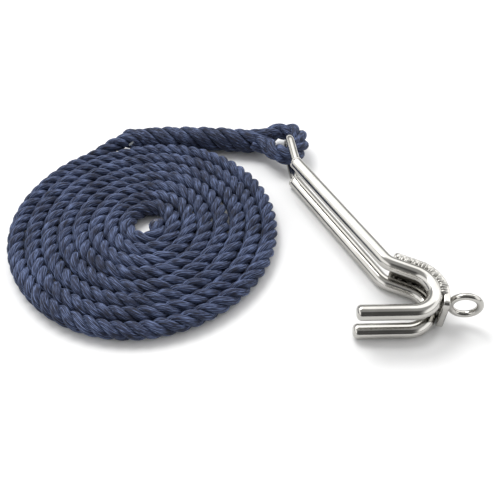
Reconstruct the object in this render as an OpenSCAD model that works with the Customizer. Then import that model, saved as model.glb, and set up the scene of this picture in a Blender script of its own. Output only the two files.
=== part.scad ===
// Two-prong anchor chain hook with a spliced three-strand rope.
// The hook lies on its side: one rod above the other, prongs along X, prong tips at -X.
// Millimetres. Origin: bottom centre of the hook's box. +Z up, rope coil at -X.

/* [Rods] */
// Diameter of the two hook rods
rod_d = 10; // [8:0.5:11]
// Distance between the two rods' centre lines
rod_pitch = 20; // [18:0.5:26]
// Straight length of each prong, from its tip to the bend
prong_len = 35; // [20:1:60]
// Rounding of each prong tip
tip_round = 3; // [0.5:0.5:3.5]
// Centre line radius of the hook bend
bend_r = 16.5; // [13:0.5:26]
// Angle that the hook bend turns through
bend_angle = 152; // [135:1:165]
// Straight length between the hook bend and the neck
mid_len = 15; // [8:1:30]
// Centre line radius of the neck
neck_r = 13; // [11:1:30]
// Angle that the neck bends back through
neck_angle = 35; // [15:1:45]
// Straight length of the shank above the neck
shank_len = 112.5; // [80:0.5:160]

/* [Bow] */
// Diameter of the bar that the bow is bent from
bow_bar_d = 7; // [5:0.5:7.5]
// Straight length of each bow leg
bow_leg_len = 28; // [24:1:40]
// Angle between the shank and the bow
bow_kink = 21; // [0:1:25]
// Height of the weld collar round each bow leg
bow_weld_h = 2.6; // [1.5:0.1:3.5]

/* [Back plate] */
// Thickness of the plate that ties the two rods together
plate_t = 4; // [3:0.5:6]
// Width of the plate, across both rods
plate_w = 26; // [20:1:27]
// Straight length of the plate beside the shank side of the bend
plate_head_len = 17; // [8:1:24]
// Straight length of the plate beyond the crown of the bend
plate_tail_len = 8; // [4:1:14]
// Angle that the plate follows the bend past its outermost point
plate_tail_angle = 14; // [0:1:30]
// Rounding of the plate's four corners
plate_corner_r = 3; // [1:0.5:5]
// Radius of the weld beads between the plate and the rods
plate_weld_r = 1.9; // [1.5:0.1:2.5]

/* [Trip ring] */
// Diameter of the ring's wire
ring_wire_d = 4.5; // [3:0.5:6]
// Centre line radius of the ring
ring_r = 9.1; // [7:0.1:14]
// Height of the ring's centre above the ground
ring_z = 17; // [14:0.5:20]
// Place of the ring round the bend, measured from the bend's outermost point
ring_angle = -10; // [-12:1:30]
// Radius of the weld at the ring's foot
ring_weld_r = 3.4; // [2.5:0.1:4.5]

/* [Rope] */
// Diameter of the rope
rope_d = 12; // [10:0.5:12]
// Diameter of the spliced part of the rope
splice_d = 21; // [18:0.5:21]
// Diameter of one rope strand
strand_d = 6; // [4:0.5:6.5]
// Outer radius of the flat rope coil
coil_r = 98.5; // [80:0.5:101]
// Radius of the hole in the middle of the coil
coil_hole_r = 8; // [6:0.5:16]
// Room between the coil and the splice beside it
splice_gap = 0.4; // [0.2:0.1:2]

/* [Hidden] */
$fn = 64;
// Half the width and the height of the band that joins two stretches of bent bar.
seam = 0.1;
seam_proud = 0.02;
tip_step = 15;

function heading(a) = [cos(a), sin(a)];

// Rod path, seen from above, with the bend's centre at [0, 0].
rod_r = rod_d / 2;
lower_z = rod_r;
upper_z = rod_r + rod_pitch;
mid_z = rod_r + rod_pitch / 2;
bend_end = bend_angle - 90;
mid_heading = bend_angle;
shank_heading = bend_angle - neck_angle;
mid_start = bend_r * heading(bend_end);
mid_end = mid_start + mid_len * heading(mid_heading);
neck_centre = mid_end - neck_r * heading(mid_heading + 90);
shank_start = neck_centre + neck_r * heading(shank_heading + 90);
shank_end = shank_start + shank_len * heading(shank_heading);

// Bow path.
bow_r = bow_bar_d / 2;
bow_heading = shank_heading - bow_kink;
crown_centre = shank_end + bow_leg_len * heading(bow_heading);
crown_apex = crown_centre + rod_pitch / 2 * heading(bow_heading);

// Plate and ring places.
plate_in_r = bend_r + rod_r;
plate_out_r = plate_in_r + plate_t;
plate_z = mid_z - plate_w / 2;
ring_gap = 0.1;
ring_reach = plate_out_r + ring_gap + ring_r + ring_wire_d / 2;
ring_centre = ring_reach * heading(ring_angle);

// The hook's box, which puts the origin at its bottom centre.
hook_left = crown_apex[0] - bow_r;
hook_right = ring_centre[0] + (ring_r + ring_wire_d / 2) * cos(ring_angle);
hook_near = -bend_r - rod_r;
hook_far = crown_apex[1] + bow_r;
hook_shift = -[hook_left + hook_right, hook_near + hook_far] / 2;

// Weld beads: a bead's centre is level with the plate's edge and just inside the rod's surface.
weld_sink = 0.47;
weld_rise = 0.1;
weld_up = min(plate_w / 2 + weld_rise - rod_pitch / 2, rod_r - 2 * weld_sink);
weld_out = sqrt(pow(rod_r - weld_sink, 2) - pow(weld_up, 2));
bow_weld_top_r = bow_r + 0.5;

// Rope. The coil lies flat; the splice lies beside it; the eye goes through the bow.
rope_r = rope_d / 2;
splice_r = splice_d / 2;
strand_r = strand_d / 2;
tube_sides = 10;
coil_edge = rope_r * (1 - tan(22.5));
coil_centre = [-166.5, 6.5];
splice_from = [-198, 108, 10.5];
splice_to = [-76, 101, 10.5];
splice_run = splice_to - splice_from;
splice_len = norm(splice_run);
splice_heading = atan2(splice_run[1], splice_run[0]);
splice_taper = 22;
splice_throat = 8;
splice_throat_r = 9.5;
lead_sink = 1.4;
lead_angle = 123.4;
lead_bulge = [1.2, 1.4, 0];
lead_to = [coil_centre[0], coil_centre[1], rope_r] + (coil_r - lead_sink)
    * [cos(lead_angle), sin(lead_angle), 0];
LEAD = [for (f = [0 : 0.25 : 1]) [
    splice_from[0] + f * (lead_to[0] - splice_from[0]),
    splice_from[1] + f * (lead_to[1] - splice_from[1]),
    splice_from[2] + sin(90 * f) * (lead_to[2] - splice_from[2])] + sin(180 * f) * lead_bulge];
EYE = [[-76, 107, 10.5], [-70, 111.5, 10.5], [-63, 114.5, 11], [-56, 113.5, 12], [-49.5, 109, 13.5],
    [-45, 102, 15], [-43.5, 94, 15], [-44.5, 86, 15], [-48.5, 79, 15], [-55, 75, 15],
    [-62.5, 75.5, 15], [-68.5, 79.5, 14.5], [-73, 86, 13], [-76, 93.5, 11.5]];
TAIL_TOP = [6, 62];
TAIL_NEAR = [14, -40];
TAIL_FAR = [20, 160];
tail_len = 11;
tail_lean = 25;
seal_pos = [-158.3, 4.5];
seal_len = 4;
seal_heading = 112;

// A closed tube along a list of points, its rings standing across the path.
function run_at(p, i) = p[min(i + 1, len(p) - 1)] - p[max(i - 1, 0)];
function ring_points(p, i, r, n) =
    let (t = run_at(p, i) / norm(run_at(p, i)),
         s = cross(t, [0, 0, 1]) / norm(cross(t, [0, 0, 1])),
         u = cross(s, t))
    [for (k = [0 : n - 1]) p[i] + r * (cos(360 * k / n) * s + sin(360 * k / n) * u)];
module tube(p, r, n) {
    rings = len(p);
    points = [for (i = [0 : rings - 1]) each ring_points(p, i, r, n)];
    sides = [for (i = [0 : rings - 2], k = [0 : n - 1])
        [i * n + k, i * n + (k + 1) % n, (i + 1) * n + (k + 1) % n, (i + 1) * n + k]];
    first = [[for (k = [n - 1 : -1 : 0]) k]];
    last = [[for (k = [0 : n - 1]) (rings - 1) * n + k]];
    polyhedron(points, concat(sides, first, last), convexity = 10);
}

// A bar from the current origin along +X, kept a seam away from each joint.
module bar(len, r) {
    translate([seam, 0, 0]) rotate([0, 90, 0]) cylinder(h = len - 2 * seam, r = r);
}

// A round bar bent about the origin, from one angle to another, kept a seam away at each end.
module bend(radius, r, from, to) {
    trim = seam / radius * 180 / PI;
    rotate([0, 0, from + trim]) rotate_extrude(angle = to - from - 2 * trim)
        translate([radius, 0]) circle(r);
}

// The thin band that joins a bend to a bar, at the current origin across +X.
module joint(r) {
    translate([-2 * seam, 0, 0]) rotate([0, 90, 0]) cylinder(h = 4 * seam, r = r + seam_proud);
}

// A prong: a straight bar along -X from the origin, its tip rounded.
module prong() {
    rotate([0, -90, 0]) intersection() {
        translate([0, 0, seam]) cylinder(h = prong_len - seam, r = rod_r);
        rotate_extrude() polygon(concat([[0, 0], [2 * rod_r, 0], [2 * rod_r, prong_len - tip_round]],
            [for (a = [0 : tip_step : 90]) [rod_r - tip_round + tip_round * cos(a),
                prong_len - tip_round + tip_round * sin(a)]], [[0, prong_len]]));
    }
}

module rod(z) {
    translate([hook_shift[0], hook_shift[1], z]) {
        translate([0, -bend_r, 0]) {
            prong();
            joint(rod_r);
        }
        bend(bend_r, rod_r, -90, bend_end);
        translate(mid_start) rotate([0, 0, mid_heading]) {
            bar(mid_len, rod_r);
            joint(rod_r);
        }
        translate(mid_end) rotate([0, 0, mid_heading]) joint(rod_r);
        translate(neck_centre) bend(neck_r, rod_r, shank_heading + 90, mid_heading + 90);
        translate(shank_start) rotate([0, 0, shank_heading]) {
            bar(shank_len, rod_r);
            joint(rod_r);
        }
    }
}

// The half space filled by the shank's rods, behind their cut ends.
module shank_block() {
    block = 4 * rod_d;
    translate([shank_end[0], shank_end[1], -block / 2]) rotate([0, 0, shank_heading])
        translate([-block - seam, -block / 2, 0]) cube([block, block, 2 * block]);
}

module bow_leg(z, from) {
    translate([shank_end[0], shank_end[1], z]) rotate([0, 0, bow_heading]) {
        translate([from, 0, 0]) bar(bow_leg_len - from, bow_r);
        translate([bow_leg_len, 0, 0]) joint(bow_r);
    }
}

module bow_shape() {
    root = -bow_bar_d;
    difference() {
        union() {
            bow_leg(lower_z, root);
            bow_leg(upper_z, root);
        }
        shank_block();
    }
    translate([crown_centre[0], crown_centre[1], mid_z]) rotate([0, 0, bow_heading])
        rotate([90, 0, 0]) bend(rod_pitch / 2, bow_r, -90, 90);
}

// One weld collar: a cone on the rod's cut end, round the leg.
module bow_weld(z) {
    translate([hook_shift[0], hook_shift[1], 0]) difference() {
        translate([shank_end[0], shank_end[1], z]) rotate([0, 0, shank_heading])
            translate([-seam, 0, 0]) rotate([0, 90, 0])
                cylinder(h = bow_weld_h + seam, r1 = rod_r, r2 = bow_weld_top_r);
        bow_leg(z, -bow_bar_d);
    }
}

// A flat plate end that runs along +X, with both far corners rounded.
module plate_end(len) {
    r = plate_corner_r;
    translate([0, -rod_r, plate_z]) rotate([90, 0, 0]) linear_extrude(plate_t) {
        square([len - r, plate_w]);
        translate([len - r, r]) square([r, plate_w - 2 * r]);
        for (v = [r, plate_w - r]) translate([len - r, v]) circle(r);
    }
}

module plate_shape() {
    rotate([0, 0, -plate_tail_angle]) rotate_extrude(angle = bend_end + plate_tail_angle)
        translate([plate_in_r, plate_z]) square([plate_t, plate_w]);
    translate(mid_start) rotate([0, 0, mid_heading]) plate_end(plate_head_len);
    translate(bend_r * heading(-plate_tail_angle)) rotate([0, 0, 90 - plate_tail_angle])
        mirror([1, 0, 0]) plate_end(plate_tail_len);
}

// A weld bead between rod and plate, along the plate's upper or lower edge.
module plate_weld(z, side) {
    translate([hook_shift[0], hook_shift[1], z + side * weld_up]) {
        bend(bend_r + weld_out, plate_weld_r, -plate_tail_angle, bend_end);
        translate((bend_r + weld_out) * heading(bend_end)) rotate([0, 0, mid_heading]) {
            bar(mid_len, plate_weld_r);
            joint(plate_weld_r);
        }
    }
}

module ring_shape() {
    translate([ring_centre[0], ring_centre[1], ring_z]) rotate([0, 0, ring_angle])
        rotate([90, 0, 0]) rotate_extrude() translate([ring_r, 0]) circle(ring_wire_d / 2);
}

module upper_rod() { color("silver") rod(upper_z); }
module lower_rod() { color("silver") rod(lower_z); }
module bow() {
    color("gainsboro") translate([hook_shift[0], hook_shift[1], 0]) bow_shape();
}
module back_plate() {
    color("darkgray") translate([hook_shift[0], hook_shift[1], 0]) plate_shape();
}
module trip_ring() {
    color("silver") translate([hook_shift[0], hook_shift[1], 0]) ring_shape();
}
module plate_weld_upper() { color("gray") plate_weld(upper_z, 1); }
module plate_weld_lower() { color("gray") plate_weld(lower_z, -1); }
module bow_weld_upper() { color("gray") bow_weld(upper_z); }
module bow_weld_lower() { color("gray") bow_weld(lower_z); }
module ring_weld() {
    foot = (plate_out_r + ring_wire_d / 4) * heading(ring_angle) + hook_shift;
    color("gray") translate([foot[0], foot[1], ring_z]) sphere(ring_weld_r);
}

// The flat spiral's outer shape, with its edge cut straight beside the splice.
module rope_coil() {
    color("midnightblue") difference() {
        translate(coil_centre) rotate_extrude($fn = 256) polygon([
            [coil_hole_r, coil_edge], [coil_hole_r + coil_edge, 0],
            [coil_r - coil_edge, 0], [coil_r, coil_edge],
            [coil_r, rope_d - coil_edge], [coil_r - coil_edge, rope_d],
            [coil_hole_r + coil_edge, rope_d], [coil_hole_r, rope_d - coil_edge]]);
        translate([splice_from[0], splice_from[1], -rope_r])
            rotate([0, 0, splice_heading]) translate([0, -splice_r - splice_gap, 0])
                cube([2 * splice_len, splice_d, 2 * rope_d]);
    }
}
module rope_lead() { color("midnightblue") tube(LEAD, rope_r, tube_sides); }
module rope_eye() { color("midnightblue") tube(EYE, rope_r, tube_sides); }
module rope_splice() {
    color("navy") translate(splice_from) rotate([0, 0, splice_heading]) rotate([0, 90, 0])
        rotate_extrude() polygon([[0, 0], [rope_r, 0], [splice_r, splice_taper],
            [splice_r, splice_len - splice_throat], [splice_throat_r, splice_len],
            [0, splice_len]]);
}

// A cut strand end that leans out of the splice: place = [distance along, angle round].
module strand_tail(place) {
    depth = rope_r + (splice_r - rope_r) * min(place[0] / splice_taper, 1) - strand_r;
    translate(splice_from) rotate([0, 0, splice_heading]) translate([place[0], 0, 0])
        rotate([place[1], 0, 0]) translate([tail_len, depth, 0]) rotate([0, 0, tail_lean])
            translate([-tail_len, 0, 0]) rotate([0, -90, 0]) cylinder(h = tail_len, r = strand_r);
}
module strand_tail_top() { color("slateblue") strand_tail(TAIL_TOP); }
module strand_tail_near() { color("slateblue") strand_tail(TAIL_NEAR); }
module strand_tail_far() { color("slateblue") strand_tail(TAIL_FAR); }
module rope_end_seal() {
    color("darkslateblue") translate([seal_pos[0], seal_pos[1], rope_r])
        rotate([0, 0, seal_heading]) bar(seal_len, rope_r);
}

upper_rod();
lower_rod();
bow();
back_plate();
trip_ring();
plate_weld_upper();
plate_weld_lower();
bow_weld_upper();
bow_weld_lower();
ring_weld();
rope_coil();
rope_lead();
rope_splice();
rope_eye();
strand_tail_top();
strand_tail_near();
strand_tail_far();
rope_end_seal();
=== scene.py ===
"""A two-prong anchor chain hook that hangs in the spliced eye of a coiled three-strand rope.

Everything is in metres, in the CAD frame: the hook lies on its side, its prongs point along -X,
and the rope coil lies at -X. Sizes are written in millimetres and turned by MM.
"""
import math

import bpy
import numpy as np
from mathutils import Matrix, Vector


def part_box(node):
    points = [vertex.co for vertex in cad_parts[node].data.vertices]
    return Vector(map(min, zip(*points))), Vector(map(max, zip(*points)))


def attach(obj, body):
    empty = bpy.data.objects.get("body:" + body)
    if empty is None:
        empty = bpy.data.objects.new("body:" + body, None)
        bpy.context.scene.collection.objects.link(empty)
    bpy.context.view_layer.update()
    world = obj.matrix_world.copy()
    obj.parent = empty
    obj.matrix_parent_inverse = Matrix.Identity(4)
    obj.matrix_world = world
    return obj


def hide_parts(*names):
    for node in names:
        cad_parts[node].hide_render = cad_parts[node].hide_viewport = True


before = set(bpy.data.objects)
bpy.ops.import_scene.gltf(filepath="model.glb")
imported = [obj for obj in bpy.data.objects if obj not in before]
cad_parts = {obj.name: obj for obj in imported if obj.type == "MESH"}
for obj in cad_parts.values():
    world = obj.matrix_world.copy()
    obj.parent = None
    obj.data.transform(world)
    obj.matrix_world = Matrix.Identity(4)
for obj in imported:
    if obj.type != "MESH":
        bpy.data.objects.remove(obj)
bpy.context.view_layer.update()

MM = 0.001
UP = np.array([0.0, 0.0, 1.0])

# ---------------------------------------------------------------- camera

LENS, SENSOR = 41.76, 36.0
CAMERA_AT = (-0.0885, -0.2991, 0.318)
CAMERA_DOWN, CAMERA_ROLL, CAMERA_SHIFT = 46.0, -1.0, -0.044


def place_camera():
    data = bpy.data.cameras.new("camera")
    data.lens, data.sensor_width, data.shift_y = LENS, SENSOR, CAMERA_SHIFT
    data.clip_start, data.clip_end = 0.01, 20
    camera = bpy.data.objects.new("camera", data)
    bpy.context.scene.collection.objects.link(camera)
    camera.matrix_world = (Matrix.Translation(CAMERA_AT)
                           @ Matrix.Rotation(math.radians(90 - CAMERA_DOWN), 4, "X")
                           @ Matrix.Rotation(math.radians(CAMERA_ROLL), 4, "Z"))
    bpy.context.scene.camera = camera


place_camera()

# ---------------------------------------------------------------- lines and skins


def unit(v):
    return v / np.linalg.norm(v, axis=-1, keepdims=True)


def ease(x):
    x = np.clip(x, 0, 1)
    return x * x * (3 - 2 * x)


def heading(degrees):
    a = math.radians(degrees)
    return np.array([math.cos(a), math.sin(a), 0.0])


def smooth_line(points, step):
    """Points about a step apart on one smooth curve through the given points."""
    p = np.asarray(points, float)
    p = np.vstack([2 * p[0] - p[1], p, 2 * p[-1] - p[-2]])
    knots = np.concatenate([[0], np.cumsum(np.linalg.norm(np.diff(p, axis=0), axis=1) ** 0.5)])
    out = []
    for i in range(1, len(p) - 2):
        t0, t1, t2, t3 = knots[i - 1:i + 3]
        t = np.linspace(t1, t2, 12, endpoint=False)[:, None]
        a1 = (t1 - t) / (t1 - t0) * p[i - 1] + (t - t0) / (t1 - t0) * p[i]
        a2 = (t2 - t) / (t2 - t1) * p[i] + (t - t1) / (t2 - t1) * p[i + 1]
        a3 = (t3 - t) / (t3 - t2) * p[i + 1] + (t - t2) / (t3 - t2) * p[i + 2]
        b1 = (t2 - t) / (t2 - t0) * a1 + (t - t0) / (t2 - t0) * a2
        b2 = (t3 - t) / (t3 - t1) * a2 + (t - t1) / (t3 - t1) * a3
        out.append((t2 - t) / (t2 - t1) * b1 + (t - t1) / (t2 - t1) * b2)
    return even_line(np.vstack(out + [p[-2:-1]]), step)


def along(line):
    """How far along a line each of its points is."""
    return np.concatenate([[0], np.cumsum(np.linalg.norm(np.diff(line, axis=0), axis=1))])


def even_line(line, step):
    s = along(line)
    places = np.linspace(0, s[-1], max(2, round(s[-1] / step) + 1))
    return np.stack([np.interp(places, s, line[:, k]) for k in range(3)], -1)


def skin(name, rings, material, closed=False, u=None, cut=None):
    """A piece through rings of points, ends closed, faces outwards. A cut end may have its own material."""
    n, m = rings.shape[:2]
    i, k = np.arange(n if closed else n - 1)[:, None], np.arange(m)[None, :]
    j = (i + 1) % n
    quads = np.stack([i * m + k, i * m + (k + 1) % m, j * m + (k + 1) % m, j * m + k], -1).reshape(-1, 4)
    verts = rings.reshape(-1, 3)
    u = np.linspace(0, 1, n) if u is None else u
    u = np.append(u, u[-1] + (u[-1] - u[-2])) if closed else u
    ui, uj = u[i] + 0 * k, u[i + 1] + 0 * k
    v0, v1 = k / m + 0 * i, (k + 1) / m + 0 * i
    uv = np.stack([np.stack([ui, v0], -1), np.stack([ui, v1], -1), np.stack([uj, v1], -1),
                   np.stack([uj, v0], -1)], 2).reshape(-1, 2)
    faces = quads.tolist()
    if not closed:
        verts = np.vstack([verts, rings[0].mean(0), rings[-1].mean(0)])
        for first, centre, turn in ((0, n * m, 1), ((n - 1) * m, n * m + 1, 0)):
            for q in range(m):
                a, b = first + q, first + (q + 1) % m
                faces.append([b, a, centre] if turn else [a, b, centre])
                end = u[0] if turn else u[-1]
                uv = np.vstack([uv, [[end, (q + turn) / m], [end, (q + 1 - turn) / m], [end, (q + 0.5) / m]]])
    a, b, c = (verts[quads[:, x]] for x in (0, 1, 2))
    d = verts[quads[:, 3]]
    volume = np.einsum("ij,ij->", a, np.cross(b, c)) + np.einsum("ij,ij->", a, np.cross(c, d))
    mesh = bpy.data.meshes.new(name)
    mesh.from_pydata(verts.tolist(), [], faces)
    mesh.uv_layers.new(name="along_round").data.foreach_set("uv", uv.ravel().astype(np.float32))
    if volume < 0:
        mesh.flip_normals()
    mesh.materials.append(material)
    if cut is not None:
        mesh.materials.append(cut)
        which = np.zeros(len(faces), np.int32)
        which[len(faces) - m:] = 1
        mesh.polygons.foreach_set("material_index", which)
    mesh.shade_smooth()
    mesh.update()
    piece = bpy.data.objects.new(name, mesh)
    bpy.context.scene.collection.objects.link(piece)
    return piece


# ---------------------------------------------------------------- finishes

def links(tree):
    """A short way to add nodes to a tree and join them."""
    def add(kind, **values):
        node = tree.nodes.new(kind)
        inputs = values.pop("inputs", {})
        for key, value in values.items():
            setattr(node, key, value)
        for key, value in inputs.items():
            if isinstance(value, bpy.types.NodeSocket):
                tree.links.new(value, node.inputs[key])
            else:
                node.inputs[key].default_value = value
        return node
    return add


def ramp(add, source, stops):
    node = add("ShaderNodeValToRGB", inputs={"Fac": source})
    for place, colour in stops[2:]:
        node.color_ramp.elements.new(place)
    for element, (place, colour) in zip(node.color_ramp.elements, sorted(stops)):
        element.position, element.color = place, (*colour, 1)
    return node.outputs["Color"]


def shader_group(name, numbers, outputs):
    """An empty effect group with named number inputs and named outputs."""
    tree = bpy.data.node_groups.new(name, "ShaderNodeTree")
    for label, value in numbers.items():
        tree.interface.new_socket(label, in_out="INPUT", socket_type="NodeSocketFloat").default_value = value
    for label, kind in outputs.items():
        tree.interface.new_socket(label, in_out="OUTPUT", socket_type="NodeSocket" + kind)
    return tree, tree.nodes.new("NodeGroupInput").outputs, tree.nodes.new("NodeGroupOutput").inputs


def math_node(add, operation, a, b=0.0, c=None):
    node = add("ShaderNodeMath", operation=operation, inputs={0: a, 1: b})
    if c is not None:
        if isinstance(c, bpy.types.NodeSocket):
            node.id_data.links.new(c, node.inputs[2])
        else:
            node.inputs[2].default_value = c
    return node.outputs[0]


STEEL_SHADE, STEEL_LIGHT = (0.42, 0.41, 0.385), (0.50, 0.49, 0.465)
# The darkest rope colour also carries painted shade in the yarn valleys, and the lightest carries a painted
# highlight on the yarn crests.
NAVY_DARK_AND_VALLEY_SHADE, NAVY, NAVY_LIGHT_AND_CREST_HIGHLIGHT = (0.004, 0.005, 0.012), (0.018, 0.026, 0.064), (0.135, 0.180, 0.330)
# The cut strand's gap colour is painted shade between the fibre ends.
CUT_FIBRE, CUT_GAP_SHADE = (0.42, 0.44, 0.40), (0.06, 0.07, 0.10)
SEAL_SHADE, SEAL_LIGHT = (0.008, 0.010, 0.025), (0.03, 0.04, 0.09)


def polish_group():
    """Polished steel: faint clouding, fine wheel marks and small wear specks."""
    tree, got, put = shader_group("polish", {"Gloss": 0.06, "Spread": 0.06, "Marks": 0.2},
                                  {"Tint": "Color", "Roughness": "Float", "Height": "Float"})
    add = links(tree)
    place = add("ShaderNodeTexCoord").outputs["Object"]
    cloud = add("ShaderNodeTexNoise", inputs={"Vector": place, "Scale": 60, "Detail": 4}).outputs["Fac"]
    stretched = add("ShaderNodeMapping", inputs={"Vector": place, "Scale": (1, 1, 7)}).outputs["Vector"]
    marks = add("ShaderNodeTexNoise", inputs={"Vector": stretched, "Scale": 900, "Detail": 3}).outputs["Fac"]
    specks = add("ShaderNodeTexVoronoi", inputs={"Vector": place, "Scale": 300}).outputs["Distance"]
    speck = math_node(add, "LESS_THAN", specks, 0.07)
    rough = math_node(add, "MULTIPLY_ADD", cloud, got["Spread"], got["Gloss"])
    rough = math_node(add, "MULTIPLY_ADD", speck, 0.05, rough)
    tint = ramp(add, cloud, [(0.3, STEEL_SHADE), (0.7, STEEL_LIGHT)])
    tree.links.new(tint, put["Tint"])
    tree.links.new(rough, put["Roughness"])
    tree.links.new(math_node(add, "MULTIPLY", marks, got["Marks"]), put["Height"])
    return tree


def yarn_group():
    """Laid rope: fine yarns along each strand, stray fibres and uneven dye, with painted shade in the valleys
    between yarns and a painted highlight on their crests.
    """
    tree, got, put = shader_group("yarn", {"Yarns": 20.0, "Fuzz": 1.0, "Dye": 1.0},
                                  {"Colour": "Color", "Roughness": "Float", "Height": "Float"})
    add = links(tree)
    place = add("ShaderNodeTexCoord")
    flat = add("ShaderNodeSeparateXYZ", inputs={"Vector": place.outputs["UV"]}).outputs
    round_ = math_node(add, "MULTIPLY", flat["Y"], got["Yarns"])
    ridge = math_node(add, "ABSOLUTE", math_node(add, "SINE", math_node(add, "MULTIPLY", round_, math.pi)))
    fibre_at = add("ShaderNodeMapping", inputs={"Vector": place.outputs["UV"], "Scale": (75, 8, 1)})

    def noise(vector, scale, detail):
        inputs = {"Vector": vector, "Scale": scale, "Detail": detail}
        return add("ShaderNodeTexNoise", inputs=inputs).outputs["Fac"]

    fibre = noise(fibre_at.outputs["Vector"], 3, 5)
    fuzz = noise(place.outputs["Object"], 1500, 3)
    dye = noise(place.outputs["Object"], 55, 2)
    dyed = math_node(add, "MULTIPLY", dye, math_node(add, "MULTIPLY", got["Dye"], 0.25))
    mix = math_node(add, "MULTIPLY_ADD", fibre, 0.95, dyed)
    # The ridge paints shade into the valleys between yarns and a highlight on their crests.
    mix = math_node(add, "MULTIPLY_ADD", ridge, 0.16, math_node(add, "SUBTRACT", mix, 0.2))
    colour = ramp(add, mix, [(0.36, NAVY_DARK_AND_VALLEY_SHADE), (0.68, NAVY_LIGHT_AND_CREST_HIGHLIGHT), (0.5, NAVY)])
    height = math_node(add, "MULTIPLY_ADD", fuzz, math_node(add, "MULTIPLY", got["Fuzz"], 0.5), ridge)
    height = math_node(add, "MULTIPLY_ADD", fibre, 0.6, height)
    tree.links.new(colour, put["Colour"])
    tree.links.new(math_node(add, "MULTIPLY_ADD", fibre, 0.2, 0.62), put["Roughness"])
    tree.links.new(height, put["Height"])
    return tree


def finish_of(name, tree, numbers, strength, depth, **plain):
    """A material round one effect group; plain values sit on the shader's own sockets."""
    material = bpy.data.materials.new(name)
    material.use_nodes = True
    nodes = material.node_tree
    shader = nodes.nodes["Principled BSDF"]
    add = links(nodes)
    effect = add("ShaderNodeGroup", node_tree=tree)
    for label, value in numbers.items():
        effect.inputs[label].default_value = value
    bump = add("ShaderNodeBump", inputs={"Strength": strength, "Distance": depth,
                                         "Height": effect.outputs["Height"]})
    nodes.links.new(effect.outputs[0], shader.inputs["Base Color"])
    nodes.links.new(effect.outputs["Roughness"], shader.inputs["Roughness"])
    nodes.links.new(bump.outputs["Normal"], shader.inputs["Normal"])
    for label, value in plain.items():
        shader.inputs[label.replace("_", " ")].default_value = value
    return material


polish, yarn = polish_group(), yarn_group()
mirror_steel = finish_of("mirror_steel", polish, {"Gloss": 0.09, "Spread": 0.08, "Marks": 0.15},
                         0.1, 0.05 * MM, Metallic=1)
bow_steel = finish_of("bow_steel", polish, {"Gloss": 0.07, "Spread": 0.07, "Marks": 0.3},
                      0.15, 0.05 * MM, Metallic=1)
plate_steel = finish_of("plate_steel", polish, {"Gloss": 0.14, "Spread": 0.12, "Marks": 0.8},
                        0.3, 0.1 * MM, Metallic=1)
weld_steel = finish_of("weld_steel", polish, {"Gloss": 0.2, "Spread": 0.2, "Marks": 2.0},
                       0.6, 0.2 * MM, Metallic=1)
SHEEN = {"Sheen_Weight": 0.12, "Sheen_Roughness": 0.4, "Sheen_Tint": (0.5, 0.62, 0.8, 1),
         "Specular_IOR_Level": 0.35}
navy_rope = finish_of("navy_rope", yarn, {"Yarns": 20}, 0.7, 0.25 * MM, **SHEEN)
tuck_rope = finish_of("tuck_rope", yarn, {"Yarns": 20, "Dye": 0.8}, 0.7, 0.25 * MM, **SHEEN)


def end_material(name, pattern, inputs, output, stops, depth, roughness):
    """The finish of a rope's or a strand's end, from one small pattern."""
    material = bpy.data.materials.new(name)
    material.use_nodes = True
    nodes = material.node_tree
    add = links(nodes)
    place = add("ShaderNodeTexCoord").outputs["Object"]
    height = add(pattern, inputs={"Vector": place, **inputs}).outputs[output]
    bump = add("ShaderNodeBump", inputs={"Strength": 0.8, "Distance": depth, "Height": height})
    shader = nodes.nodes["Principled BSDF"]
    nodes.links.new(ramp(add, height, stops), shader.inputs["Base Color"])
    nodes.links.new(bump.outputs["Normal"], shader.inputs["Normal"])
    shader.inputs["Roughness"].default_value = roughness
    return material


# A cut strand is pale and frayed, with painted shade in the gaps between its fibre ends; the melted rope end
# is dark, half glossy and uneven.
cut_strand = end_material("cut_strand", "ShaderNodeTexVoronoi", {"Scale": 1400}, "Distance",
                          [(0.1, CUT_FIBRE), (0.6, CUT_GAP_SHADE)], 0.3 * MM, 0.8)
melted_seal = end_material("melted_seal", "ShaderNodeTexNoise", {"Scale": 500, "Detail": 4}, "Fac",
                           [(0.35, SEAL_SHADE), (0.65, SEAL_LIGHT)], 0.5 * MM, 0.35)

# ---------------------------------------------------------------- rope route

# The length is in metres; the other sizes are in millimetres and the angles in degrees.
ROPE_LENGTH, ROPE_D = 2.864, 12.0
COIL_MIDDLE = np.array([-164.1, 5.8])
COIL_START, COIL_TURNS, COIL_R, COIL_Z = 105.0, 7.75, 98.5, 6.5
COIL_STEP, LEAVES_AT = 4.0, 131.0
# Each turn stands out a little except towards +X, and the last one eases out to the lead.
TURN_SPREAD = 0.7
EASES_OUT, EASES_FROM, EASES_OVER = 1.6, 225, 60
# Where turns are pushed out below the lead, in turns from the outside, and how far.
PUSHED, PUSHED_OVER = ((1.06, 2.4), (2.06, 1.2)), 0.13
# The unevenness of a hand-laid coil: waves of the radius, fading near the middle, and of the height.
RADIUS_WAVES, CALM_TURN, CALM_OVER = ((0.3, 2.7, 0), (0.2, 4.3, 1)), 7, 3
HEIGHT_WAVE = (0.15, 5.1)
LEAD = [(-220.5, 86.5, 6.6), (-214, 93, 7.0), (-208, 98.6, 8.0), (-201.5, 103, 9.5)]
SPLICE = [(-191.3, 106.6, 10.5), (-174.1, 108, 10.5), (-152.3, 107.6, 10.5), (-130.6, 106.9, 10.5),
          (-104.5, 104.4, 10.5), (-89, 102.2, 10.5)]
EYE = [(-76, 105, 11.5), (-70, 109, 11.5), (-63, 112.8, 11.5), (-56, 113, 12), (-49.5, 109, 13.5),
       (-46, 102, 15), (-45, 94, 15), (-46, 86, 15), (-49.5, 79.5, 15), (-55.5, 75.3, 15),
       (-61.5, 77.5, 15), (-67, 82.5, 14.5), (-70.5, 89, 13), (-75, 94.5, 11.8), (-84, 98, 11)]


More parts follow.
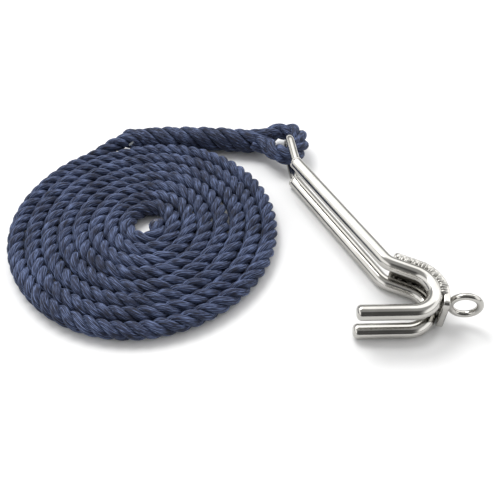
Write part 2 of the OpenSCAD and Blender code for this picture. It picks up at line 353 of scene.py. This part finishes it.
def coil_points():
    """The spiral from the rope's inner end outwards, with the small unevenness of a hand-laid coil."""
    turned = np.radians(np.arange(COIL_START + 360 * COIL_TURNS, LEAVES_AT, -COIL_STEP))
    wound = (turned - math.radians(COIL_START)) / (2 * math.pi)
    r = COIL_R - ROPE_D * wound + TURN_SPREAD * wound * (1 - np.maximum(np.cos(turned), 0) ** 2)
    r += EASES_OUT * ease((math.radians(EASES_FROM) - turned) / math.radians(EASES_OVER))
    r += sum(far * np.exp(-((wound - place) / PUSHED_OVER) ** 2) for place, far in PUSHED)
    waves = sum(high * np.sin(rate * turned + start) for high, rate, start in RADIUS_WAVES)
    r += waves * ease((CALM_TURN - wound) / CALM_OVER)
    flat = COIL_MIDDLE + r[:, None] * np.stack([np.cos(turned), np.sin(turned)], -1)
    high, rate = HEIGHT_WAVE
    return np.column_stack([flat, COIL_Z + high * np.sin(rate * turned)])


ROUTE_STEP = 1.6 * MM
route = smooth_line(np.vstack([coil_points(), LEAD, SPLICE, EYE]) * MM, ROUTE_STEP)
route_s = along(route)


def nearest(x, y):
    return route_s[np.argmin(np.hypot(route[:, 0] - x * MM, route[:, 1] - y * MM))]


splice_from, splice_to = nearest(-199, 105.5), nearest(-76, 105)


def swell(s, low, high, eye):
    """A size with one value on the coil, one on the splice and one on the eye."""
    into = ease((s - splice_from) / (24 * MM))
    out = ease((s - splice_to + 10 * MM) / (14 * MM))
    return (low + (high - low) * into + (eye - high) * out) * MM


# Sizes on the coil, the splice and the eye: a full twist of the strands, how far each strand's
# middle is from the rope's line, and the strand's radius.
LAY, STRAND_OUT, STRAND_R = (29, 47, 42), (3.45, 6.6, 3.95), (2.98, 3.15, 3.6)
FIRST_STRAND_AT = 0.6
YARN_TWIST, YARN_RIDGE = 25.5 * MM, 0.3 * MM

lay_length = swell(route_s, *LAY)
turning = np.concatenate([[0], np.cumsum(2 * math.pi * np.diff(route_s) / lay_length[1:])])
turning += 0.12 * np.sin(route_s / 0.045) + 0.08 * np.sin(route_s / 0.019 + 2)
YARNS, SIDES_PER_YARN = 10, 4
YARN_SHAPE = np.tile([-1.0, -0.25, 0.0, -0.25], YARNS)


def strand_rings(s, angle, offset, radius):
    """Rings of one strand that winds round the rope's line, its yarns running with the rope."""
    centre = np.stack([np.interp(s, route_s, route[:, k]) for k in range(3)], -1)
    forward = unit(np.gradient(centre, axis=0))
    if s[0] > s[-1]:
        forward = -forward
    left = unit(np.cross(UP, forward))
    top = np.cross(forward, left)
    out = np.cos(angle)[:, None] * left + np.sin(angle)[:, None] * top
    line = centre + offset[:, None] * out
    along_strand = unit(np.gradient(line, axis=0))
    out = unit(out - np.sum(out * along_strand, -1, keepdims=True) * along_strand)
    side = np.cross(along_strand, out)
    if s[0] > s[-1]:
        side = -side
    turn = 2 * math.pi * np.arange(len(YARN_SHAPE)) / len(YARN_SHAPE)
    grain = turn[None, :] - (s / YARN_TWIST * 2 * math.pi)[:, None]
    r = radius[:, None] + YARN_RIDGE * YARN_SHAPE[None, :]
    return (line[:, None, :] + (r * np.cos(grain))[..., None] * out[:, None, :]
            + (r * np.sin(grain))[..., None] * side[:, None, :])


def rope_strand(number):
    phase = 2 * math.pi * number / 3 + FIRST_STRAND_AT
    rings = strand_rings(route_s, turning + phase, swell(route_s, *STRAND_OUT), swell(route_s, *STRAND_R))
    return skin(f"rope_strand_{number + 1}", rings, navy_rope, u=route_s)


TUCK_BEFORE, TUCK_BESIDE, TUCK_R = 6 * MM, math.radians(44), 3.3 * MM
TUCK_DEEP, TUCK_RISE, TUCK_RISES_OVER = 3.2, 3.9, 18 * MM
# Towards its end a tuck sinks, thins and then lifts its cut face: how much, and over what length.
TUCK_SINKS, TUCK_THINS, TUCK_LIFTS = (1.2 * MM, 26 * MM), (0.5 * MM, 18 * MM), (2.0 * MM, 9 * MM)


def tuck(number, stops_at):
    """A strand of the eye tucked back beside a strand of the rope, up to its cut end."""
    begins = splice_to + TUCK_BEFORE
    s = np.arange(begins, stops_at, -ROUTE_STEP)
    angle = np.interp(s, route_s, turning) + 2 * math.pi * number / 3 + FIRST_STRAND_AT + TUCK_BESIDE
    gone, left_over = begins - s, s - stops_at

    def near_end(much, over):
        return much * ease(1 - left_over / over)

    offset = (TUCK_DEEP + TUCK_RISE * ease(gone / TUCK_RISES_OVER)) * MM - near_end(*TUCK_SINKS)
    offset += near_end(*TUCK_LIFTS)
    radius = np.full_like(s, TUCK_R) - near_end(*TUCK_THINS)
    rings = strand_rings(s, angle, offset, radius)
    return skin(f"tucked_strand_{number + 1}", rings, tuck_rope, u=s, cut=cut_strand)


def round_line(name, line, radii, material, sides=24):
    """A plain round piece along a level line."""
    forward = unit(np.gradient(line, axis=0))
    left = unit(np.cross(UP, forward))
    top = np.cross(forward, left)
    turn = np.linspace(0, 2 * math.pi, sides, endpoint=False)
    ring = np.cos(turn)[None, :, None] * left[:, None] + np.sin(turn)[None, :, None] * top[:, None]
    return skin(name, line[:, None] + radii[:, None, None] * ring, material)


TUCK_ENDS = (9.0, 15.0, 4.0)
CORE_R, CORE_TAPER, CORE_TIP = 4.4 * MM, 18 * MM, 0.3

strands = [rope_strand(n) for n in range(3)]
tucks = [tuck(n, splice_from + end * MM) for n, end in enumerate(TUCK_ENDS)]
core_s = np.arange(splice_from + 12 * MM, splice_to + 2 * MM, 3 * MM)
core_line = np.stack([np.interp(core_s, route_s, route[:, k]) for k in range(3)], -1)
core_left = np.minimum(core_s - core_s[0], core_s[-1] - core_s)
core_r = CORE_R * ease(core_left / CORE_TAPER + CORE_TIP)
splice_core = round_line("splice_core", core_line, core_r, tuck_rope)

SEAL_DOME, SEAL_BULGE, SEAL_R = np.radians([0, 20, 40, 60, 75, 88]), 2.2 * MM, 6.05 * MM
past_end = unit(route[0] - route[2])
seal_line = np.vstack([route[0] - past_end * 3 * MM, route[0] - past_end * 1.5 * MM,
                       route[0] + past_end * np.sin(SEAL_DOME)[:, None] * SEAL_BULGE])
seal_r = np.concatenate([[5.6 * MM, 6.0 * MM], SEAL_R * np.cos(SEAL_DOME)])
rope_seal = round_line("rope_seal", seal_line, seal_r, melted_seal, 40)

for piece in (*strands, *tucks, splice_core, rope_seal):
    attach(piece, "rope")
for piece, node in zip(tucks, ("strand_tail_top", "strand_tail_near", "strand_tail_far")):
    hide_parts(node)
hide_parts("rope_end_seal")
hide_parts("rope_coil", "rope_lead", "rope_splice", "rope_eye")

# ---------------------------------------------------------------- steel hook

ROD_R, ROD_PITCH = 5.0, 20.0
PRONG_LEN, BEND_R, BEND_ANGLE, MID_LEN = 35.0, 16.5, 152, 15.0
NECK_R, NECK_ANGLE, SHANK_LEN = 13.0, 35, 112.5
BOW_R, BOW_LEG, BOW_KINK = 3.5, 28.0, 21
PLATE_T, PLATE_W, PLATE_HEAD, PLATE_TAIL, PLATE_TAIL_ANGLE = 4.0, 26.0, 17.0, 8.0, 14
RING_R, RING_WIRE_R, RING_Z, RING_ANGLE, RING_GAP = 9.1, 2.25, 17.0, -10, 0.1
ROD_HEIGHTS = {"lower": ROD_R, "upper": ROD_R + ROD_PITCH}
MID_Z = ROD_R + ROD_PITCH / 2


def arc(middle, radius, start, stop, step=2.5):
    angles = np.linspace(start, stop, max(3, round(abs(stop - start) / step) + 1))
    return np.array([middle + radius * heading(a) for a in angles])


# The places below repeat the part's own rod path, with the bend's centre first.
bend_end = BEND_ANGLE - 90
shank_way = BEND_ANGLE - NECK_ANGLE
bow_way = shank_way - BOW_KINK
mid_start = BEND_R * heading(bend_end)
mid_end = mid_start + MID_LEN * heading(BEND_ANGLE)
neck_middle = mid_end - NECK_R * heading(BEND_ANGLE + 90)
shank_start = neck_middle + NECK_R * heading(shank_way + 90)
shank_end = shank_start + SHANK_LEN * heading(shank_way)
crown = shank_end + BOW_LEG * heading(bow_way)
ring_middle = (BEND_R + ROD_R + PLATE_T + RING_GAP + RING_R + RING_WIRE_R) * heading(RING_ANGLE)
low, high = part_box("lower_rod")
shift = np.array([high[0] / MM, low[1] / MM, 0.0]) + (BEND_R + ROD_R) * np.array([-1.0, 1.0, 0.0])


def bar(name, line, radii, across, material, sides=64, closed=False):
    """A round bar bent in one plane; across is the direction square to that plane."""
    if closed:
        forward = unit(np.roll(line, -1, axis=0) - np.roll(line, 1, axis=0))
    else:
        forward = unit(np.gradient(line, axis=0))
    side = unit(np.cross(across, forward))
    turn = np.linspace(0, 2 * math.pi, sides, endpoint=False)
    ring = (np.cos(turn)[None, :, None] * side[:, None]
            + np.sin(turn)[None, :, None] * np.asarray(across)[None, None])
    rings = (line + shift)[:, None] + np.asarray(radii)[:, None, None] * ring
    return skin(name, rings * MM, material, closed=closed)


def rounded_end(radius, rounding, steps=7):
    """Distances from a bar's end and the radii there, for an end with a rounded edge."""
    a = np.linspace(0, math.pi / 2, steps)
    return rounding * (1 - np.sin(a))[::-1], (radius - rounding + rounding * np.cos(a))[::-1]


TIP_ROUNDING, ROOT_ROUNDING = 3.0, 0.5


def rod(level):
    """One bent bar of the hook, from its prong's rounded tip to the cut end at the bow."""
    tip_d, tip_r = rounded_end(ROD_R, TIP_ROUNDING)
    root_d, root_r = rounded_end(ROD_R, ROOT_ROUNDING)
    prong_end = np.array([-PRONG_LEN, -BEND_R, 0])
    way = heading(shank_way)
    line = np.vstack([
        prong_end + tip_d[:, None] * heading(0),
        np.linspace(prong_end + 4 * heading(0), prong_end + (PRONG_LEN - 1) * heading(0), 12),
        arc(np.zeros(3), BEND_R, -90, bend_end),
        np.linspace(mid_start, mid_end, 6)[1:-1],
        arc(neck_middle, NECK_R, BEND_ANGLE + 90, shank_way + 90)[:-1],
        np.linspace(shank_start, shank_end - 2 * way, 30),
        (shank_end - root_d[:, None] * way)[::-1]])
    plain = len(line) - len(tip_d) - len(root_d)
    radii = np.concatenate([tip_r, np.full(plain, ROD_R), root_r[::-1]])
    line[:, 2] = ROD_HEIGHTS[level]
    return bar(f"{level}_hook_rod", line, radii, UP, mirror_steel)


def bow():
    """The U-shaped bar over the two cut ends, bent away from the shank's line."""
    way, square = heading(bow_way), heading(bow_way - 90)
    leg = np.linspace(shank_end - 1.2 * way, crown - 0.8 * way, 14)
    a = np.linspace(-math.pi / 2, math.pi / 2, 37)
    top = crown + ROD_PITCH / 2 * np.cos(a)[:, None] * way + (ROD_PITCH / 2 * np.sin(a))[:, None] * UP
    line = np.vstack([leg - ROD_PITCH / 2 * UP, top, (leg + ROD_PITCH / 2 * UP)[::-1]])
    line[:, 2] += MID_Z
    return bar("hook_bow", line, np.full(len(line), BOW_R), square, bow_steel, 48)


def plate():
    """The back plate: a rounded strip that follows the outside of the bend."""
    edge, corner, half_t = 0.7, 3.0, PLATE_T / 2
    arc_r = BEND_R + ROD_R + half_t
    tail_way = heading(90 - PLATE_TAIL_ANGLE)
    tail_root = arc_r * heading(-PLATE_TAIL_ANGLE)
    end = corner * (1 - np.sin(np.linspace(0, math.pi / 2, 7)))[::-1]
    tail_d = np.concatenate([end, [PLATE_TAIL * 0.6]])
    tail = tail_root - (PLATE_TAIL - tail_d)[:, None] * tail_way
    head_root, head_way = arc_r * heading(bend_end), heading(BEND_ANGLE)
    head_d = np.concatenate([[PLATE_HEAD * 0.7, PLATE_HEAD * 0.4], end[::-1]])
    head = head_root + (PLATE_HEAD - head_d)[:, None] * head_way
    line = np.vstack([tail, arc(np.zeros(3), arc_r, -PLATE_TAIL_ANGLE, bend_end, 2), head])
    left = np.concatenate([tail_d, np.full(len(line) - len(tail_d) - len(head_d), 99.0), head_d])
    half_w = PLATE_W / 2 - corner + np.sqrt(corner ** 2 - (corner - np.minimum(left, corner)) ** 2)
    forward = unit(np.gradient(line, axis=0))
    out = np.cross(forward, UP)
    spots = []
    for cu, cw, a0 in ((1, 1, 0), (-1, 1, 90), (-1, -1, 180), (1, -1, 270)):
        spots += [(cu, cw, math.radians(a0 + b)) for b in (0, 30, 60, 90)]
    u = np.array([cu * (half_t - edge) + edge * math.cos(a) for cu, _, a in spots])
    w_flat = np.array([cw for _, cw, _ in spots])
    w_round = np.array([edge * math.sin(a) for _, _, a in spots])
    w = w_flat[None] * (half_w[:, None] - edge) + w_round[None]
    rings = (line + shift)[:, None] + u[None, :, None] * out[:, None] + (MID_Z + w)[..., None] * UP
    return skin("hook_back_plate", rings * MM, plate_steel)


def circle(middle, radius, across, points):
    """A closed upright circle of points round a middle; across is its level direction."""
    a = np.linspace(0, 2 * math.pi, points, endpoint=False)
    return middle + radius * (np.cos(a)[:, None] * across + np.sin(a)[:, None] * UP)


def trip_ring():
    line = circle(ring_middle + RING_Z * UP, RING_R, heading(RING_ANGLE), 96)
    return bar("hook_trip_ring", line, np.full(len(line), RING_WIRE_R), heading(RING_ANGLE + 90),
               mirror_steel, 40, closed=True)


# ---------------------------------------------------------------- welds, by Geometry Nodes

SMALLEST_RIPPLE, LARGEST_RIPPLE = 0.85, 1.15


def ripple_tree(material):
    """Overlapping weld ripples along a line: named inputs for their size, spacing and seed."""
    tree = bpy.data.node_groups.new("weld_ripples", "GeometryNodeTree")
    face = tree.interface
    face.new_socket("Line", in_out="INPUT", socket_type="NodeSocketGeometry")
    for label, value in (("Ripple Radius", 2.0 * MM), ("Ripple Spacing", 1.5 * MM), ("Flatness", 0.6),
                         ("Wander", 0.3 * MM)):
        face.new_socket(label, in_out="INPUT", socket_type="NodeSocketFloat").default_value = value
    face.new_socket("Seed", in_out="INPUT", socket_type="NodeSocketInt").default_value = 3
    face.new_socket("Weld", in_out="OUTPUT", socket_type="NodeSocketGeometry")
    got = tree.nodes.new("NodeGroupInput").outputs
    put = tree.nodes.new("NodeGroupOutput").inputs
    add = links(tree)
    curve = add("GeometryNodeMeshToCurve", inputs={"Mesh": got["Line"]}).outputs["Curve"]
    spots = add("GeometryNodeCurveToPoints", mode="LENGTH",
                inputs={"Curve": curve, "Length": got["Ripple Spacing"]})
    jump = add("FunctionNodeRandomValue", data_type="FLOAT_VECTOR", inputs={"Seed": got["Seed"]})
    jump.inputs[0].default_value, jump.inputs[1].default_value = (-1, -1, -1), (1, 1, 1)
    stray = add("ShaderNodeVectorMath", operation="SCALE",
                inputs={0: jump.outputs[0], "Scale": got["Wander"]})
    moved = add("GeometryNodeSetPosition",
                inputs={"Geometry": spots.outputs["Points"], "Offset": stray.outputs[0]}).outputs[0]
    size = add("FunctionNodeRandomValue", data_type="FLOAT", inputs={"Seed": got["Seed"]})
    size.inputs[2].default_value, size.inputs[3].default_value = SMALLEST_RIPPLE, LARGEST_RIPPLE
    reach = math_node(add, "MULTIPLY", size.outputs[1], got["Ripple Radius"])
    height = math_node(add, "MULTIPLY", reach, got["Flatness"])
    scale = add("ShaderNodeCombineXYZ", inputs={"X": reach, "Y": reach, "Z": height})
    ball = add("GeometryNodeMeshUVSphere", inputs={"Segments": 16, "Rings": 10, "Radius": 1.0})
    ball = add("GeometryNodeSetShadeSmooth", inputs={"Geometry": ball.outputs["Mesh"]}).outputs[0]
    laid = add("GeometryNodeInstanceOnPoints",
               inputs={"Points": moved, "Instance": ball, "Rotation": spots.outputs["Rotation"],
                       "Scale": scale.outputs[0]}).outputs[0]
    solid = add("GeometryNodeRealizeInstances", inputs={"Geometry": laid}).outputs[0]
    done = add("GeometryNodeSetMaterial", inputs={"Geometry": solid, "Material": material}).outputs[0]
    tree.links.new(done, put["Weld"])
    return tree


ripples = ripple_tree(weld_steel)


def weld(name, line, closed=False, **sizes):
    """One plain mesh of ripples laid along a line, in the hook's own millimetres."""
    points = ((np.asarray(line) + shift) * MM).tolist()
    edges = [(i, i + 1) for i in range(len(points) - 1)] + ([(len(points) - 1, 0)] if closed else [])
    mesh = bpy.data.meshes.new(name + "_line")
    mesh.from_pydata(points, edges, [])
    guide = bpy.data.objects.new(name + "_line", mesh)
    bpy.context.scene.collection.objects.link(guide)
    run = guide.modifiers.new("ripples", "NODES")
    run.node_group = ripples
    for socket in ripples.interface.items_tree:
        if socket.in_out == "INPUT" and socket.name in sizes:
            run[socket.identifier] = sizes[socket.name]
    bpy.context.view_layer.update()
    made = bpy.data.meshes.new_from_object(guide.evaluated_get(bpy.context.evaluated_depsgraph_get()))
    guide.modifiers.remove(run)
    bpy.data.objects.remove(guide)
    made.name = name
    made.shade_smooth()
    piece = bpy.data.objects.new(name, made)
    bpy.context.scene.collection.objects.link(piece)
    return piece


def ripple_sizes(radius, spacing, flatness, wander, seed):
    return {"Ripple Radius": radius * MM, "Ripple Spacing": spacing * MM, "Flatness": flatness,
            "Wander": wander * MM, "Seed": seed}


# The bead lies this far in from the rods' outside, and this far outwards from each rod's own height.
BEAD_IN, BEAD_UP, BEAD_DOWN, BEAD_TAIL_ANGLE = 0.2, 1.5, 0.7, 2
COLLAR_UP_SHANK, COLLAR_R, COLLAR_POINTS = 0.6, 3.5, 24
FOOT_OUT, FOOT_R, FOOT_POINTS = 0.6, 1.7, 20


def plate_weld(level, side, seed):
    """The bead between the back plate's edge and one rod."""
    radius = BEND_R + ROD_R - BEAD_IN
    bead_start = radius * heading(bend_end)
    line = np.vstack([arc(np.zeros(3), radius, -PLATE_TAIL_ANGLE + BEAD_TAIL_ANGLE, bend_end, 2),
                      np.linspace(bead_start, bead_start + MID_LEN * heading(BEND_ANGLE), 8)[1:]])
    line[:, 2] = ROD_HEIGHTS[level] + side * (BEAD_UP if side > 0 else BEAD_DOWN)
    return weld(f"plate_weld_bead_{level}", line, **ripple_sizes(3.3, 1.8, 0.4, 0.8, seed))


def bow_weld(level, seed):
    """The collar of weld where the bow meets one rod's cut end."""
    way = heading(shank_way)
    line = circle(shank_end + COLLAR_UP_SHANK * way, COLLAR_R, np.cross(UP, way), COLLAR_POINTS)
    line[:, 2] += ROD_HEIGHTS[level]
    return weld(f"bow_weld_collar_{level}", line, closed=True, **ripple_sizes(1.75, 1.5, 0.75, 0.35, seed))


def ring_weld():
    """The weld between the trip ring and the back plate."""
    foot = (BEND_R + ROD_R + PLATE_T + FOOT_OUT) * heading(RING_ANGLE) + RING_Z * UP
    line = circle(foot, FOOT_R, heading(RING_ANGLE + 90), FOOT_POINTS)
    return weld("ring_weld_foot", line, closed=True, **ripple_sizes(1.9, 1.3, 0.75, 0.3, 5))


hook_pieces = [
    (rod("upper"), "upper_rod", "polished_steel"), (rod("lower"), "lower_rod", "polished_steel"),
    (bow(), "bow", "bow_steel"), (plate(), "back_plate", "plate_steel"),
    (trip_ring(), "trip_ring", "polished_steel"),
    (plate_weld("upper", 1, 11), "plate_weld_upper", "weld_steel"),
    (plate_weld("lower", -1, 12), "plate_weld_lower", "weld_steel"),
    (bow_weld("upper", 13), "bow_weld_upper", "weld_steel"),
    (bow_weld("lower", 14), "bow_weld_lower", "weld_steel"),
    (ring_weld(), "ring_weld", "weld_steel")]
for piece, node, slot in hook_pieces:
    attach(piece, "hook")
    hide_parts(node)

# ---------------------------------------------------------------- floor and light


FLOOR_REACH, FLOOR_Z, FLOOR_WHITE = 6.0, -0.3 * MM, 0.86


def floor():
    """A plain pale floor just under the rope and the hook."""
    mesh = bpy.data.meshes.new("floor")
    corners = [(x * FLOOR_REACH, y * FLOOR_REACH, FLOOR_Z) for x, y in ((-1, -1), (1, -1), (1, 1), (-1, 1))]
    mesh.from_pydata(corners, [], [(0, 1, 2, 3)])
    piece = bpy.data.objects.new("floor", mesh)
    bpy.context.scene.collection.objects.link(piece)
    material = bpy.data.materials.new("pale_floor")
    material.use_nodes = True
    shader = material.node_tree.nodes["Principled BSDF"]
    shader.inputs["Base Color"].default_value = (FLOOR_WHITE, FLOOR_WHITE, FLOOR_WHITE, 1)
    shader.inputs["Roughness"].default_value = 0.9
    shader.inputs["Specular IOR Level"].default_value = 0.1
    mesh.materials.append(material)


WALL_LIGHT, BACK_LIGHT, SIDE_LIGHT, CARD_SHADE = 0.52, 1.7, 1.2, 0.78


def studio():
    """Grey walls, a bright panel behind and at each side, and one dark card behind the camera."""
    world = bpy.data.worlds.new("studio")
    world.use_nodes = True
    bpy.context.scene.world = world
    add = links(world.node_tree)
    way = add("ShaderNodeTexCoord").outputs["Generated"]
    axis = add("ShaderNodeSeparateXYZ", inputs={"Vector": way}).outputs

    def step(source, start, stop):
        return add("ShaderNodeMapRange", interpolation_type="SMOOTHSTEP",
                   inputs={0: source, 1: start, 2: stop}).outputs[0]

    def both(a, b):
        return math_node(add, "MULTIPLY", a, b)

    wide = math_node(add, "ABSOLUTE", axis["X"])
    back_heights = both(step(axis["Z"], 0.45, 0.6), step(axis["Z"], 0.98, 0.9))
    side_heights = both(step(axis["Z"], 0.05, 0.2), step(axis["Z"], 0.75, 0.6))
    back_panel = both(step(axis["Y"], 0.12, 0.3), back_heights)
    side_panel = both(step(wide, 0.55, 0.72), side_heights)
    card = both(step(axis["Y"], -0.3, -0.52), step(wide, 0.65, 0.4))
    light = math_node(add, "MULTIPLY_ADD", back_panel, BACK_LIGHT, WALL_LIGHT)
    light = math_node(add, "MULTIPLY_ADD", side_panel, SIDE_LIGHT, light)
    light = both(light, math_node(add, "MULTIPLY_ADD", card, -CARD_SHADE, 1.0))
    background = world.node_tree.nodes["Background"]
    world.node_tree.links.new(light, background.inputs["Color"])
    background.inputs["Strength"].default_value = 1.0


def soft_box(name, place, aim, size, power):
    """One rectangular lamp turned towards a spot."""
    data = bpy.data.lights.new(name, "AREA")
    data.shape, data.size, data.size_y, data.energy = "RECTANGLE", *size, power
    lamp = bpy.data.objects.new(name, data)
    bpy.context.scene.collection.objects.link(lamp)
    lamp.location = place
    lamp.rotation_mode = "QUATERNION"
    lamp.rotation_quaternion = (Vector(aim) - Vector(place)).to_track_quat("-Z", "Y")


floor()
studio()
soft_box("back_soft_box", place=(-0.5, 0.7, 1.2), aim=(-0.1, 0, 0), size=(0.8, 0.6), power=11)
bpy.context.scene.view_settings.view_transform = "Standard"
